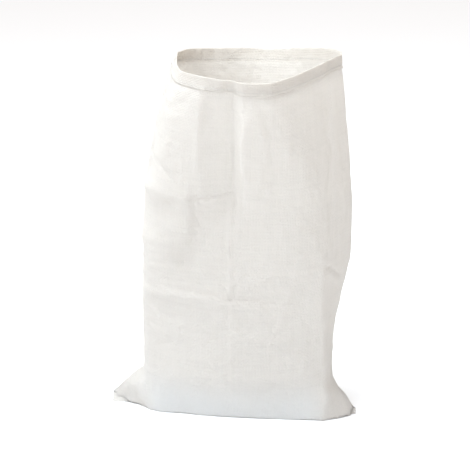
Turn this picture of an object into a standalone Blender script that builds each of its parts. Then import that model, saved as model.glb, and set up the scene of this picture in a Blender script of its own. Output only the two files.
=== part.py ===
"""Empty woven sack standing open on its flat bottom, with two sewn corners sticking out as ears."""

import math

import bmesh
import bpy
import numpy as np

# Cloth and sack, flat sizes in metres
FLAT_WIDTH = 0.500
WALL = 0.0012
HEM_DEPTH = 0.026
HEM_STEP = 0.0011
BAND_WIDTH = 0.020
BAND_THICK = 0.0026
THREAD_RADIUS = 0.0004
THREAD_GAP = 0.0003

# Bottom of the standing sack, in metres
CORNER_LEVEL = 0.100
BAND_FLAT_FROM = 0.170
BAND_UPRIGHT_FROM = 0.222
SEAM_HEIGHT = 0.0022
FIN_HALF = 0.0026

# Columns round one half of the sack: distance along the cloth from the left side crease
SIDE_STEPS = 6
SIDE_LENGTH = 0.066
FACE_STEPS = 14

# Rows up the wall, as the height of the row where the mouth is at its nominal height
NOMINAL_TOP = 0.735
LEVELS = (
    0.0, 0.010, 0.020, 0.030, 0.040, 0.055, 0.070, 0.085, 0.100, 0.130, 0.160, 0.190, 0.220,
    0.236, 0.250, 0.264, 0.290, 0.320, 0.344, 0.361, 0.377, 0.408, 0.438, 0.461, 0.477, 0.504,
    0.532, 0.560, 0.590, 0.620, 0.650, 0.680,
)

# Plan of the wall at several heights: front half from the left crease to the right crease,
# then the back half from the right crease to the left one. Millimetres, front is minus y.
PLANS = (
    (100, ((-184, 0), (-177, -45), (-162, -68), (0, -84), (187, -68), (200, 0)),
     ((200, 0), (188, 66), (0, 80), (-167, 66), (-184, 0))),
    (170, ((-184, 0), (-178, -45), (-162, -68), (0, -84), (187, -67), (204, 0)),
     ((204, 0), (190, 64), (0, 78), (-167, 64), (-184, 0))),
    (250, ((-186, 0), (-180, -45), (-162, -68), (0, -80), (187, -66), (217, 0)),
     ((217, 0), (192, 62), (0, 76), (-167, 62), (-186, 0))),
    (345, ((-183, 0), (-177, -45), (-157, -70), (60, -80), (186, -66), (235, 0)),
     ((235, 0), (198, 54), (10, 80), (-165, 62), (-183, 0))),
    (430, ((-181, 0), (-174, -45), (-148, -74), (110, -88), (182, -66), (236, 0)),
     ((236, 0), (203, 52), (10, 90), (-156, 66), (-181, 0))),
    (520, ((-172, 0), (-163, -50), (-131, -90), (136, -112), (182, -76), (230, 0)),
     ((230, 0), (196, 58), (6, 108), (-134, 84), (-172, 0))),
    (620, ((-151, 0), (-142, -60), (-108, -108), (104, -144), (160, -94), (221, 0)),
     ((221, 0), (188, 68), (84, 116), (-4, 134), (-112, 96), (-151, 0))),
    (690, ((-133, 0), (-125, -62), (-97, -110), (86, -160), (148, -104), (214, 0)),
     ((214, 0), (184, 76), (90, 130), (-4, 150), (-98, 104), (-133, 0))),
    (735, ((-113, 0), (-105, -60), (-84, -112), (72, -168), (141, -104), (210, 0)),
     ((210, 0), (186, 72), (96, 138), (-4, 162), (-88, 112), (-113, 0))),
)

# Main folds of the wall, in millimetres: height (inward is minus), reach of the left or upper flank,
# reach of the right or lower flank, how far the fold fades in at its ends, and its line as distances
# round the sack from the left crease and levels above the floor
FOLDS = (
    (-14.0, 56, 16, 60, ((250, 416), (238, 493), (234, 563), (230, 651), (224, 714))),
    (4.5, 30, 34, 80, ((272, 505), (272, 700))),
    (8.0, 30, 15, 22, ((22, 480), (60, 477), (100, 478), (141, 474), (165, 470))),
    (7.5, 30, 15, 20, ((28, 386), (53, 376), (101, 374), (132, 381), (158, 396))),
    (5.0, 60, 60, 60, ((750, 363), (750, 735))),
)

# Height of the mouth above the floor round the sack: distance from the left crease, height
MOUTH = (
    (0.000, 0.733), (0.105, 0.718), (0.280, 0.710), (0.420, 0.727), (0.500, 0.738),
    (0.590, 0.732), (0.680, 0.721), (0.750, 0.713), (0.830, 0.714), (0.900, 0.720), (1.000, 0.733),
)

# Side creases over the ears: level, distance out from the middle, height
LEFT_RIDGE = ((0.0, 0.250, 0.0215), (0.040, 0.229, 0.042), (0.070, 0.200, 0.070), (0.100, 0.184, 0.100))
RIGHT_RIDGE = ((0.0, 0.250, 0.0215), (0.040, 0.226, 0.042), (0.070, 0.2035, 0.067), (0.100, 0.200, 0.100))

# Front corners of the floor outline, and how hard the cloth is pinched between them and the ears
LEFT_CORNER = (-0.168, -0.048)
RIGHT_CORNER = (0.187, -0.067)
LEFT_PINCH = 2.2
RIGHT_PINCH = 1.35
BACK_PINCH = 1.35

# How the ears are bent: forward swing of each tip, where the swing begins and is full, the height
# at which it has faded out, and how much lower the right tip leans and over what distance
LEFT_SWING = 0.008
RIGHT_SWING = 0.014
SWING_FROM = 0.175
SWING_FULL = 0.235
SWING_HEIGHT = 0.110
LEAN = 0.45
LEAN_FROM = 0.228


def clear():
    """Empty the scene before anything is made."""
    for thing in list(bpy.data.objects):
        bpy.data.objects.remove(thing, do_unlink=True)


def material(name, colour, roughness):
    """A plain material for one piece."""
    made = bpy.data.materials.new(name)
    made.use_nodes = True
    shader = made.node_tree.nodes["Principled BSDF"]
    shader.inputs["Base Color"].default_value = (*colour, 1.0)
    shader.inputs["Roughness"].default_value = roughness
    shader.inputs["Metallic"].default_value = 0.0
    return made


def slopes(knots, values):
    """Slopes of a curve that never swings past its knots."""
    steps = np.diff(knots)
    rises = np.diff(values) / steps
    out = np.zeros(len(knots))
    out[0] = rises[0]
    out[-1] = rises[-1]
    for i in range(1, len(knots) - 1):
        before, after = rises[i - 1], rises[i]
        if before * after > 0:
            out[i] = 2 * before * after / (before + after)
    return out


def curve(knots, values, at):
    """Smooth curve through the knots, read at one place."""
    knots = np.asarray(knots, float)
    values = np.asarray(values, float)
    i = int(np.clip(np.searchsorted(knots, at, side="right") - 1, 0, len(knots) - 2))
    step = knots[i + 1] - knots[i]
    t = min(max((at - knots[i]) / step, 0.0), 1.0)
    tilt = slopes(knots, values) * step
    return (
        (1 + 2 * t) * (1 - t) ** 2 * values[i]
        + t * (1 - t) ** 2 * tilt[i]
        + t * t * (3 - 2 * t) * values[i + 1]
        + t * t * (t - 1) * tilt[i + 1]
    )


def ease(value):
    """Soft step from 0 to 1."""
    value = min(max(value, 0.0), 1.0)
    return value * value * (3 - 2 * value)


def fractions():
    """Columns of one half, from 0 at the first crease to 1 at the other."""
    side = SIDE_LENGTH / FLAT_WIDTH
    near = [side * i / SIDE_STEPS for i in range(SIDE_STEPS)]
    face = [side + (1 - 2 * side) * i / FACE_STEPS for i in range(FACE_STEPS + 1)]
    far = [1 - side * i / SIDE_STEPS for i in range(SIDE_STEPS - 1, -1, -1)]
    return near + face + far


def rounded(points, rounds=3):
    """Corner points turned into a soft outline that keeps its two ends."""
    line = np.asarray(points, float)
    for _ in range(rounds):
        cut = [line[0]]
        for a, b in zip(line[:-1], line[1:]):
            cut.append(a * 0.78 + b * 0.22)
            cut.append(a * 0.22 + b * 0.78)
        cut.append(line[-1])
        line = np.asarray(cut)
    return line


def along(line, places):
    """Points of a line at fractions of its length."""
    lengths = np.concatenate([[0.0], np.cumsum(np.linalg.norm(np.diff(line, axis=0), axis=1))])
    at = np.asarray(places) * lengths[-1]
    return np.stack([np.interp(at, lengths, line[:, 0]), np.interp(at, lengths, line[:, 1])], axis=1)


def plan_columns():
    """Plan position of every column at every height of PLANS, in metres."""
    places = fractions()
    rings = []
    for _, front, back in PLANS:
        ahead = along(rounded(front), places)
        behind = along(rounded(back), places)
        rings.append(np.concatenate([ahead[:-1], behind[:-1]]) / 1000)
    return np.asarray(rings)


def ear_ring(level):
    """Ring through both ears at a level below CORNER_LEVEL."""
    above = plan_columns()[0]
    places = fractions()
    half = len(places) - 1
    share = ease(level / CORNER_LEVEL)
    ring = np.zeros((2 * half, 3))
    for i in range(2 * half):
        column = i % half
        side = 1 if i < half else -1
        place = places[column] if i < half else 1 - places[column]
        left = place < 0.5
        sign = -1 if left else 1
        ridge = LEFT_RIDGE if left else RIGHT_RIDGE
        corner = LEFT_CORNER if left else RIGHT_CORNER
        pinch = (LEFT_PINCH if left else RIGHT_PINCH) if side == 1 else BACK_PINCH
        away = min(place, 1 - place) * FLAT_WIDTH / SIDE_LENGTH
        out = curve([r[0] for r in ridge], [r[1] for r in ridge], level)
        height = curve([r[0] for r in ridge], [r[2] for r in ridge], level)
        top = above[i]
        if away < 1:
            corner_top = above[SIDE_STEPS if left else half - SIDE_STEPS]
            corner_x = corner[0] * (1 - share) + corner_top[0] * share
            corner_y = corner[1] * (1 - share) + corner_top[1] * share
            bend = 1 + (pinch - 1) * (1 - share)
            x = sign * out + (corner_x - sign * out) * away
            y = corner_y * away**bend
            x = x * (1 - share) + top[0] * out / abs(above[0 if left else half][0]) * share
            y = y * (1 - share) - abs(top[1]) * share
            apart = FIN_HALF * (1 + 12 * level)
            if away > 0:
                y = min(y, -apart)
            drop = ease((-y - apart) / 0.0075) if away > 0 else 0.0
            z = height + (level - height) * drop
            ring[i] = (x, side * y, z)
        else:
            floor_x = np.interp(
                min(max(top[0], above[SIDE_STEPS][0]), above[half - SIDE_STEPS][0]),
                (above[SIDE_STEPS][0], -0.120, 0.120, above[half - SIDE_STEPS][0]),
                (LEFT_CORNER[0], -0.116, 0.120, RIGHT_CORNER[0]),
            )
            floor_y = -np.interp(
                floor_x, (LEFT_CORNER[0], -0.146, -0.100, -0.020, 0.050, 0.120, RIGHT_CORNER[0]),
                (-LEFT_CORNER[1], 0.060, 0.063, 0.073, 0.073, 0.069, -RIGHT_CORNER[1]),
            )
            x = floor_x * (1 - share) + top[0] * share
            y = floor_y * (1 - share) - abs(top[1]) * share
            ring[i] = (x, side * y, level)
    return ring


def mouth_height(i, places):
    """Height of the mouth above the floor at column i."""
    half = len(places) - 1
    run = places[i % half] * FLAT_WIDTH + (0 if i < half else FLAT_WIDTH)
    return curve([m[0] for m in MOUTH], [m[1] for m in MOUTH], run)


def fold_height(run, level):
    """How far the main folds lift the cloth outward at one place, in metres."""
    total = 0.0
    for height, before, after, ends, line in FOLDS:
        best, side, at, done = 1e9, 0.0, 0.0, 0.0
        for (a, low), (b, high) in zip(line[:-1], line[1:]):
            size = math.hypot(b - a, high - low)
            part = ((run - a) * (b - a) + (level - low) * (high - low)) / size**2
            part = min(max(part, 0.0), 1.0)
            across = run - a - part * (b - a)
            up = level - low - part * (high - low)
            if math.hypot(across, up) < best:
                best = math.hypot(across, up)
                side = (b - a) * up - (high - low) * across
                at = done + part * size
            done += size
        profile = max(0.0, 1 - best / (before if side > 0 else after))
        total += height / 1000 * profile * ease(at / ends) * ease((done - at) / ends)
    return total


def wall_ring(level, plans, places):
    """Ring of the wall at a level above the ears."""
    heights = [p[0] / 1000 for p in PLANS]
    count = plans.shape[1]
    ring = np.zeros((count, 3))
    for i in range(count):
        x = curve(heights, plans[:, i, 0], level)
        y = curve(heights, plans[:, i, 1], level)
        stretch = (mouth_height(i, places) - CORNER_LEVEL) / (NOMINAL_TOP - CORNER_LEVEL)
        ring[i] = (x, y, CORNER_LEVEL + (level - CORNER_LEVEL) * stretch)
    runs = np.roll(ring, -1, axis=0) - np.roll(ring, 1, axis=0)
    outs = np.stack([runs[:, 1], -runs[:, 0], np.zeros(count)], axis=1)
    outs /= np.linalg.norm(outs, axis=1, keepdims=True)
    half = count // 2
    runs_round = [1000 * FLAT_WIDTH * (places[i % half] + i // half) for i in range(count)]
    lifts = [fold_height(run, 1000 * level) for run in runs_round]
    return ring + outs * np.asarray(lifts)[:, None]


def band_turn(x):
    """How far the bottom band is turned from lying flat to standing upright, in radians."""
    return math.radians(90) * ease((abs(x) - BAND_FLAT_FROM) / (BAND_UPRIGHT_FROM - BAND_FLAT_FROM))


def seam_point(x):
    """Outer point where front and back meet over the band."""
    turn = band_turn(x)
    return np.array([x, 0.0, BAND_WIDTH * math.sin(turn) + SEAM_HEIGHT * math.cos(turn)])


def bottom_rings(floor, places):
    """Rings of the bottom from the seam line out to the floor outline."""
    half = len(places) - 1
    rings = []
    for part in (0.0, 0.12, 0.30, 0.44, 0.72):
        ring = np.zeros((2 * half, 3))
        for i in range(2 * half):
            place = places[i % half] if i < half else 1 - places[i % half]
            seam = seam_point(-FLAT_WIDTH / 2 + FLAT_WIDTH * place)
            lift = math.sin(band_turn(seam[0]))
            flat = {0.0: 1.0, 0.12: 0.0 if i < half else 1.0, 0.30: 0.0 if i < half else 1.0}.get(part, 0.0)
            keep = flat * (1 - lift) + (1 - part) * lift
            point = seam * (1 - part) + floor[i] * part
            point[2] = floor[i][2] + (seam[2] - floor[i][2]) * keep
            ring[i] = point
        rings.append(ring)
    return rings


def vertex_normals(rings, half):
    """Outward direction at every point of the open skin, with the bottom rows zipped."""
    points = np.asarray(rings)
    count = points.shape[1]
    normals = np.zeros_like(points)
    for j in range(len(points) - 1):
        low, high = points[j], points[j + 1]
        low_next, high_next = np.roll(low, -1, axis=0), np.roll(high, -1, axis=0)
        face = np.cross(high_next - low, high - low_next)
        for a in (0, 1):
            normals[j + a] += face
            normals[j + a] += np.roll(face, 1, axis=0)
    for i in range(1, half):
        both = normals[0][i] + normals[0][count - i]
        normals[0][i] = both
        normals[0][count - i] = both
    lengths = np.linalg.norm(normals, axis=2, keepdims=True)
    return normals / np.maximum(lengths, 1e-12)


def make_object(name, verts, faces, shade):
    """A closed mesh object with its faces turned outward."""
    mesh = bpy.data.meshes.new(name)
    mesh.from_pydata([tuple(v) for v in verts], [], faces)
    made = bpy.data.objects.new(name, mesh)
    bpy.context.collection.objects.link(made)
    work = bmesh.new()
    work.from_mesh(mesh)
    bmesh.ops.remove_doubles(work, verts=work.verts, dist=1e-6)
    bmesh.ops.recalc_face_normals(work, faces=work.faces)
    work.to_mesh(mesh)
    work.free()
    mesh.materials.append(shade)
    return made


def sack_rings():
    """All rings of the outer skin from the seam line to the mouth, and the number of wall rows."""
    places = fractions()
    half = len(places) - 1
    plans = plan_columns()
    wall = []
    for level in LEVELS:
        if level < CORNER_LEVEL:
            wall.append(ear_ring(level))
        else:
            wall.append(wall_ring(level, plans, places))
    top = wall_ring(NOMINAL_TOP, plans, places)
    under = wall_ring(NOMINAL_TOP - HEM_DEPTH, plans, places)
    fall = (top[:, 2] - under[:, 2])[:, None]
    under = top + (under - top) * HEM_DEPTH / fall
    wall.append(under)
    wall.append(top * 0.5 + under * 0.5)
    wall.append(top)
    return bottom_rings(wall[0], places) + wall, half


def skin_faces(rows, count, outer_rows):
    """Triangles of the outer skin and then of the inner skin, split along matching diagonals."""
    faces = []
    for j in range(rows - 1):
        for i in range(count):
            k = (i + 1) % count
            a, b = j * count + i, j * count + k
            c, d = (j + 1) * count + k, (j + 1) * count + i
            leans = (4 * i // count) % 2 == 1
            if i % (count // 2) in (0, count // 2 - 1):
                leans = not leans
            if (j < outer_rows) == leans:
                faces += [(a, b, c), (a, c, d)]
            else:
                faces += [(a, b, d), (b, c, d)]
    return faces


def make_shell(shade):
    """The cloth wall, hem and bottom as one closed body."""
    rings, half = sack_rings()
    points = np.asarray(rings)
    rows, count = points.shape[:2]
    normals = vertex_normals(rings, half)
    inner = points - normals * WALL
    bottom = rows - len(LEVELS) - 3
    for i in range(count):
        seam, floor = points[0][i], points[bottom][i]
        width = abs(floor[1])
        for j in range(bottom + 1):
            inner[j][i] = points[j][i]
            if width > 0:
                run = math.hypot(width, floor[2] - seam[2]) / width
                part = abs(points[j][i][1]) / width
                inner[j][i][1] = points[j][i][1] * (width - WALL * 1.05) / width
                inner[j][i][2] += WALL * run + (seam[2] - floor[2]) * part * WALL * 1.05 / width
            else:
                inner[j][i][0] -= math.copysign(WALL * 1.5, seam[0])
                inner[j][i][2] += WALL * 1.2
        for j in range(bottom + 1, rows):
            inner[j][i][2] = max(inner[j][i][2], inner[j - 1][i][2] + 0.0004)
    for i in range(1, half):
        inner[0][count - i] = inner[0][i]
    shift = inner - points
    tips = [0, 1, half - 1, half, half + 1, count - 1]
    for j in range(bottom + 1, bottom + 10):
        soft = (np.roll(shift[j], 1, axis=0) + 2 * shift[j] + np.roll(shift[j], -1, axis=0)) / 4
        soft[tips] = shift[j][tips]
        inner[j] = points[j] + soft

    outer_rows = [points[j] for j in range(rows - 3)]
    hem = points + normals * HEM_STEP
    step = points[rows - 3] - (points[rows - 2] - points[rows - 3]) * 0.03
    outer_rows += [step, hem[rows - 3], hem[rows - 2], hem[rows - 1]]
    rise = np.array([0.0, 0.0, 0.0005])
    outer_rows += [points[rows - 1] + normals[rows - 1] * HEM_STEP * 0.3 + rise]
    outer_rows += [points[rows - 1] - normals[rows - 1] * WALL * 0.6 + rise]
    inner_rows = [inner[j] for j in range(rows - 1, -1, -1)]
    line = outer_rows + inner_rows
    verts = np.concatenate(line)
    faces = skin_faces(len(line), count, len(outer_rows))

    mesh = bpy.data.meshes.new("woven_sack")
    mesh.from_pydata([tuple(v) for v in verts], [], faces)
    made = bpy.data.objects.new("woven_sack", mesh)
    bpy.context.collection.objects.link(made)
    work = bmesh.new()
    work.from_mesh(mesh)
    bmesh.ops.remove_doubles(work, verts=work.verts, dist=2e-6)
    bmesh.ops.dissolve_degenerate(work, edges=work.edges, dist=1e-6)
    bmesh.ops.recalc_face_normals(work, faces=work.faces)
    work.to_mesh(mesh)
    work.free()
    mesh.materials.append(shade)
    return made


def band_frame(x):
    """Start of the band at the seam, its direction across, and its outer face direction."""
    turn = band_turn(x)
    start = np.array([x, 0.0, BAND_WIDTH * math.sin(turn) + BAND_THICK / 2 * math.cos(turn)])
    across = np.array([0.0, math.cos(turn), -math.sin(turn)])
    face = np.array([0.0, -math.sin(turn), -math.cos(turn)])
    return start, across, face


def band_stations():
    """Places along the band, closer where it turns."""
    flat = list(np.linspace(-BAND_FLAT_FROM, BAND_FLAT_FROM, 9))
    turn = list(np.linspace(BAND_FLAT_FROM, BAND_UPRIGHT_FROM, 12))[1:]
    end = [0.236, FLAT_WIDTH / 2]
    right = turn + end
    return [-x for x in reversed(right)] + flat + right


def sweep(name, section, frames, shade):
    """A closed section swept along frames, with flat ends."""
    count = len(section)
    verts = []
    for start, across, face in frames:
        for a, b in section:
            verts.append(start + across * a + face * b)
    faces = []
    for j in range(len(frames) - 1):
        for i in range(count):
            k = (i + 1) % count
            faces.append((j * count + i, j * count + k, (j + 1) * count + k, (j + 1) * count + i))
    faces.append(tuple(range(count)))
    last = (len(frames) - 1) * count
    faces.append(tuple(last + i for i in range(count - 1, -1, -1)))
    return make_object(name, verts, faces, shade)


def make_band(shade):
    """The folded band along the bottom seam, with the furrow the stitches pull in it."""
    half = BAND_THICK / 2
    middle = BAND_WIDTH / 2
    section = (
        (-0.0015, -half), (-0.0015, half), (middle - 0.0012, half), (middle - 0.0012, half - 0.00125),
        (middle + 0.0012, half - 0.00125), (middle + 0.0012, half), (BAND_WIDTH, half),
        (BAND_WIDTH, -half),
    )
    return sweep("band", section, [band_frame(x) for x in band_stations()], shade)


def unite(base, other):
    """Join another body into base."""
    step = base.modifiers.new("join", "BOOLEAN")
    step.operation = "UNION"
    step.solver = "EXACT"
    step.object = other
    bpy.context.view_layer.objects.active = base
    bpy.ops.object.modifier_apply(modifier=step.name)
    bpy.data.objects.remove(other, do_unlink=True)


def make_bottom_thread(shade):
    """Stitching along the bottom band."""
    sides = 8
    lift = BAND_THICK / 2 - 0.00125 + THREAD_GAP + THREAD_RADIUS
    section = [
        (
            BAND_WIDTH / 2 + THREAD_RADIUS * math.cos(2 * math.pi * i / sides),
            lift + THREAD_RADIUS * math.sin(2 * math.pi * i / sides),
        )
        for i in range(sides)
    ]
    frames = [band_frame(x) for x in band_stations()]
    return sweep("bottom_seam_thread", section, frames, shade)


def make_hem_thread(shade):
    """Stitching round the mouth, low on the hem."""
    rings, half = sack_rings()
    points = np.asarray(rings)
    normals = vertex_normals(rings, half)
    rows = len(points)
    low, high = rows - 3, rows - 1
    part = 0.24
    path = points[low] * (1 - part) + points[high] * part
    way = normals[low] * (1 - part) + normals[high] * part
    way /= np.linalg.norm(way, axis=1, keepdims=True)
    path = path + way * (HEM_STEP + THREAD_GAP + THREAD_RADIUS + 0.0002)
    count = len(path)
    sides = 6
    verts = []
    for i in range(count):
        run = path[(i + 1) % count] - path[i - 1]
        run /= np.linalg.norm(run)
        up = np.cross(run, way[i])
        up /= np.linalg.norm(up)
        for k in range(sides):
            angle = 2 * math.pi * (k + 0.5) / sides
            verts.append(path[i] + THREAD_RADIUS * (way[i] * math.cos(angle) + up * math.sin(angle)))
    faces = []
    for j in range(count):
        n = (j + 1) % count
        for i in range(sides):
            k = (i + 1) % sides
            faces.append((j * sides + i, j * sides + k, n * sides + k, n * sides + i))
    return make_object("mouth_hem_thread", verts, faces, shade)


def bend_ears(pieces):
    """Swing both ears forward and lean the right tip down, in every piece alike."""
    for piece in pieces:
        for v in piece.data.vertices:
            x, y, z = v.co
            swing = LEFT_SWING if x < 0 else RIGHT_SWING
            far = ease((abs(x) - SWING_FROM) / (SWING_FULL - SWING_FROM))
            lean = ease((x - LEAN_FROM) / (FLAT_WIDTH / 2 - LEAN_FROM))
            v.co = (x, y - swing * far * (1 - ease(z / SWING_HEIGHT)), z * (1 - LEAN * lean))


def centre(pieces):
    """Move every piece so that the sack's box is centred over the origin, on the floor."""
    ends = np.asarray([v.co[:] for v in pieces[0].data.vertices])
    low, high = ends.min(axis=0), ends.max(axis=0)
    shift = np.array([-(low[0] + high[0]) / 2, -(low[1] + high[1]) / 2, -low[2]])
    for piece in pieces:
        for v in piece.data.vertices:
            v.co = [a + b for a, b in zip(v.co, shift)]


def main():
    clear()
    cloth = material("woven_white", (0.83, 0.81, 0.77), 0.55)
    thread = material("white_thread", (0.86, 0.85, 0.82), 0.7)
    sack = make_shell(cloth)
    band = make_band(cloth)
    unite(sack, band)
    pieces = [sack, make_bottom_thread(thread), make_hem_thread(thread)]
    bend_ears(pieces)
    centre(pieces)


main()
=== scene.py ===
"""Empty woven sack standing open: cloth, hem, bottom band, stitching and studio round the fixed frame."""

import math
from functools import partialmethod

import bmesh
import bpy
import numpy as np
from bpy.props import FloatProperty, FloatVectorProperty, IntProperty, PointerProperty
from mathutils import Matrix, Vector


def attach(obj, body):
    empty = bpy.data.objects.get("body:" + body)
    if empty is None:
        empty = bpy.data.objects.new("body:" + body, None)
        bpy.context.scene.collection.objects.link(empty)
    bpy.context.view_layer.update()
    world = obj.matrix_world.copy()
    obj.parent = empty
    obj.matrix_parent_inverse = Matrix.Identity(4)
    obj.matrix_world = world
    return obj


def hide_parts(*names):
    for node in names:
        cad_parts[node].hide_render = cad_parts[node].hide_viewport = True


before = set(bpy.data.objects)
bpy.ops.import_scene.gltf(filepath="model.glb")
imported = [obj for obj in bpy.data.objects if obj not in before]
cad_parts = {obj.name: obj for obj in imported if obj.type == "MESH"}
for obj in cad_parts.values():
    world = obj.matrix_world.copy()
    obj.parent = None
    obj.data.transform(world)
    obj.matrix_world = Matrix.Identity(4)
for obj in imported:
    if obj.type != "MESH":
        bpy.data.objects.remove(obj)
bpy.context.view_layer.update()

bl_info = {
    "name": "Woven sack",
    "version": (1, 0, 0),
    "blender": (4, 5, 0),
    "location": "View3D > Sidebar > Sack",
    "description": "Builds an empty woven sack with a sewn hem and bottom, standing open in a studio",
    "category": "Object",
}

# Plan of the wall at several heights: front half from the left crease to the right crease,
# then the back half from the right crease to the left one. Millimetres, front is minus y.
PLANS = (
    (100, ((-184, 0), (-177, -45), (-162, -68), (0, -84), (187, -68), (200, 0)),
     ((200, 0), (188, 66), (0, 80), (-167, 66), (-184, 0))),
    (170, ((-184, 0), (-178, -45), (-162, -68), (0, -84), (187, -67), (204, 0)),
     ((204, 0), (190, 64), (0, 78), (-167, 64), (-184, 0))),
    (250, ((-186, 0), (-180, -45), (-162, -68), (0, -80), (187, -66), (217, 0)),
     ((217, 0), (192, 62), (0, 76), (-167, 62), (-186, 0))),
    (345, ((-183, 0), (-177, -45), (-157, -70), (60, -80), (186, -66), (235, 0)),
     ((235, 0), (198, 54), (10, 80), (-165, 62), (-183, 0))),
    (430, ((-181, 0), (-174, -45), (-148, -74), (110, -88), (182, -66), (236, 0)),
     ((236, 0), (203, 52), (10, 90), (-156, 66), (-181, 0))),
    (520, ((-172, 0), (-163, -50), (-131, -90), (136, -112), (182, -76), (230, 0)),
     ((230, 0), (196, 58), (6, 108), (-134, 84), (-172, 0))),
    (620, ((-151, 0), (-142, -60), (-108, -108), (104, -144), (160, -94), (221, 0)),
     ((221, 0), (188, 68), (84, 116), (-4, 134), (-112, 96), (-151, 0))),
    (690, ((-133, 0), (-125, -62), (-97, -110), (86, -160), (148, -104), (214, 0)),
     ((214, 0), (184, 76), (90, 130), (-4, 150), (-98, 104), (-133, 0))),
    (735, ((-113, 0), (-105, -60), (-84, -112), (72, -168), (141, -104), (210, 0)),
     ((210, 0), (186, 72), (96, 138), (-4, 162), (-88, 112), (-113, 0))),
)
NOMINAL_TOP = 0.735
CORNER_LEVEL = 0.100

# Height of the mouth above the floor round the sack: distance from the left crease, height
MOUTH = (
    (0.000, 0.733), (0.105, 0.718), (0.280, 0.710), (0.420, 0.727), (0.500, 0.738),
    (0.590, 0.732), (0.680, 0.721), (0.750, 0.713), (0.830, 0.714), (0.900, 0.720), (1.000, 0.733),
)

# Side creases over the left and the right ear: level, distance out from the middle, height
RIDGES = (
    ((0.0, 0.250, 0.0215), (0.040, 0.229, 0.042), (0.066, 0.200, 0.069), (0.077, 0.187, 0.078),
     (0.100, 0.184, 0.100)),
    ((0.0, 0.250, 0.0215), (0.040, 0.226, 0.042), (0.070, 0.2035, 0.067), (0.100, 0.200, 0.100)),
)

# Front corners of the floor outline, and how hard the cloth is pinched between them and the ears,
# left and right in front, and behind
CORNERS = ((-0.168, -0.048), (0.187, -0.067))
PINCHES = (2.2, 0.85)
BACK_PINCH = 1.35

# Bend of the ears: forward swing of both tips, where it begins and is full, the height at which it
# has faded out, how much lower the right tip leans, over what distance and up to where
SWINGS = (0.008, 0.014)
SWING_FROM = 0.175
SWING_FULL = 0.235
SWING_HEIGHT = 0.110
LEAN = 0.45
LEAN_FROM = 0.228
LEAN_HEIGHT = 0.070

# Other sizes of the standing bottom
SIDE_LENGTH = 0.066
FIN_HALF = 0.0026
TIP_HALF = 0.0013
SEAM_HEIGHT = 0.0022
BAND_FLAT_FROM = 0.170
BAND_UPRIGHT_FROM = 0.222
FLOOR_LINE = ((-0.168, 0.048), (-0.146, 0.060), (-0.100, 0.063), (-0.020, 0.073), (0.050, 0.073),
              (0.120, 0.069), (0.187, 0.067))
CENTRE_SHIFT = -0.00015

CORNER_SHARE = 0.22

# The ears' two layers: where they come apart, how much more so going up, and where the front ones
# drop to the wall (start and reach)
TIP_GROWS = 0.25
FIN_GROWTH = 12
DROP_REACH = 0.0075
DROPS = (((0.0, 0.10), (0.26, 0.16)), ((0.0, 0.12),))

# Straight part of the bottom's edge, on the wall and on the floor; how far the cloth runs down from
# the seam to the floor, and where it falls at the back, in such runs
FLAT_WALL = (-0.120, 0.120)
FLAT_FLOOR = (-0.116, 0.120)
FLOOR_RUN = 0.0085
BACK_FALL = (2.45, 1.1)

# Points of a path up the cloth: under the bottom, beside the ears, up the wall; and how many times
# neighbouring columns are evened out where the cloth leaves the floor
PATH_STEPS = (26, 21, 90)
EVENING = 50

# Packing folds and wrinkles on the cloth laid flat, in millimetres. Each has its height (inward is
# minus), the reach of its left or upper flank, the reach of its right or lower flank, how far it
# fades in at its ends, and its line as distances round the sack and up from the seam. Lines that
# run up have their left flank first; lines that run to the right have their upper flank first.
BROAD_FOLDS = (
    (-15.0, 64, 21, 60, ((250, 470), (238, 545), (234, 614), (230, 700), (222, 800))),
    (8.0, 130, 60, 50, ((178, 490), (173, 543), (168, 608), (165, 692), (152, 780))),
    (-5.0, 30, 70, 60, ((34, 500), (34, 600), (36, 760))),
    (9.0, 44, 15, 24, ((22, 506), (60, 520), (100, 529), (141, 524), (165, 522))),
    (-3.5, 9, 12, 26, ((-6, 575), (30, 580), (89, 583), (110, 565), (146, 532))),
    (9.0, 50, 36, 26, ((24, 408), (53, 416), (101, 426), (132, 435), (156, 450))),
    (8.5, 66, 14, 18, ((152, 436), (150, 480), (144, 524))),
    (3.6, 11, 56, 22, ((40, 312), (70, 313), (100, 316), (130, 321), (166, 323), (183, 321), (215, 317),
                       (240, 313), (275, 309), (320, 304))),
    (-1.4, 26, 12, 24, ((250, 318), (300, 317), (346, 314), (440, 306))),
    (2.5, 22, 22, 40, ((446, 20), (444, 78), (441, 204), (431, 314), (424, 384), (395, 470))),
    (-3.0, 10, 10, 16, ((415, 384), (447, 368), (472, 344), (484, 336))),
    (2.6, 16, 16, 30, ((466, 400), (461, 497), (463, 619), (470, 760))),
    (-2.2, 14, 14, 30, ((444, 420), (440, 520), (444, 640), (452, 740))),
    (8.5, 70, 70, 60, ((750, 420), (750, 520), (750, 640), (750, 830))),
    (-3.0, 22, 22, 50, ((560, 318), (650, 322), (750, 318), (850, 316), (940, 320))),
    (-3.0, 18, 26, 40, ((590, 536), (680, 532), (750, 530), (830, 522), (900, 524))),
    (4.0, 20, 26, 40, ((845, 400), (860, 470), (872, 560), (868, 640))),
    (-4.0, 30, 16, 40, ((655, 560), (648, 640), (640, 720), (634, 790))),
    (3.5, 24, 14, 24, ((905, 440), (940, 432), (985, 420))),
    (-2.5, 12, 12, 24, ((540, 470), (570, 462), (610, 468))),
)
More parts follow.
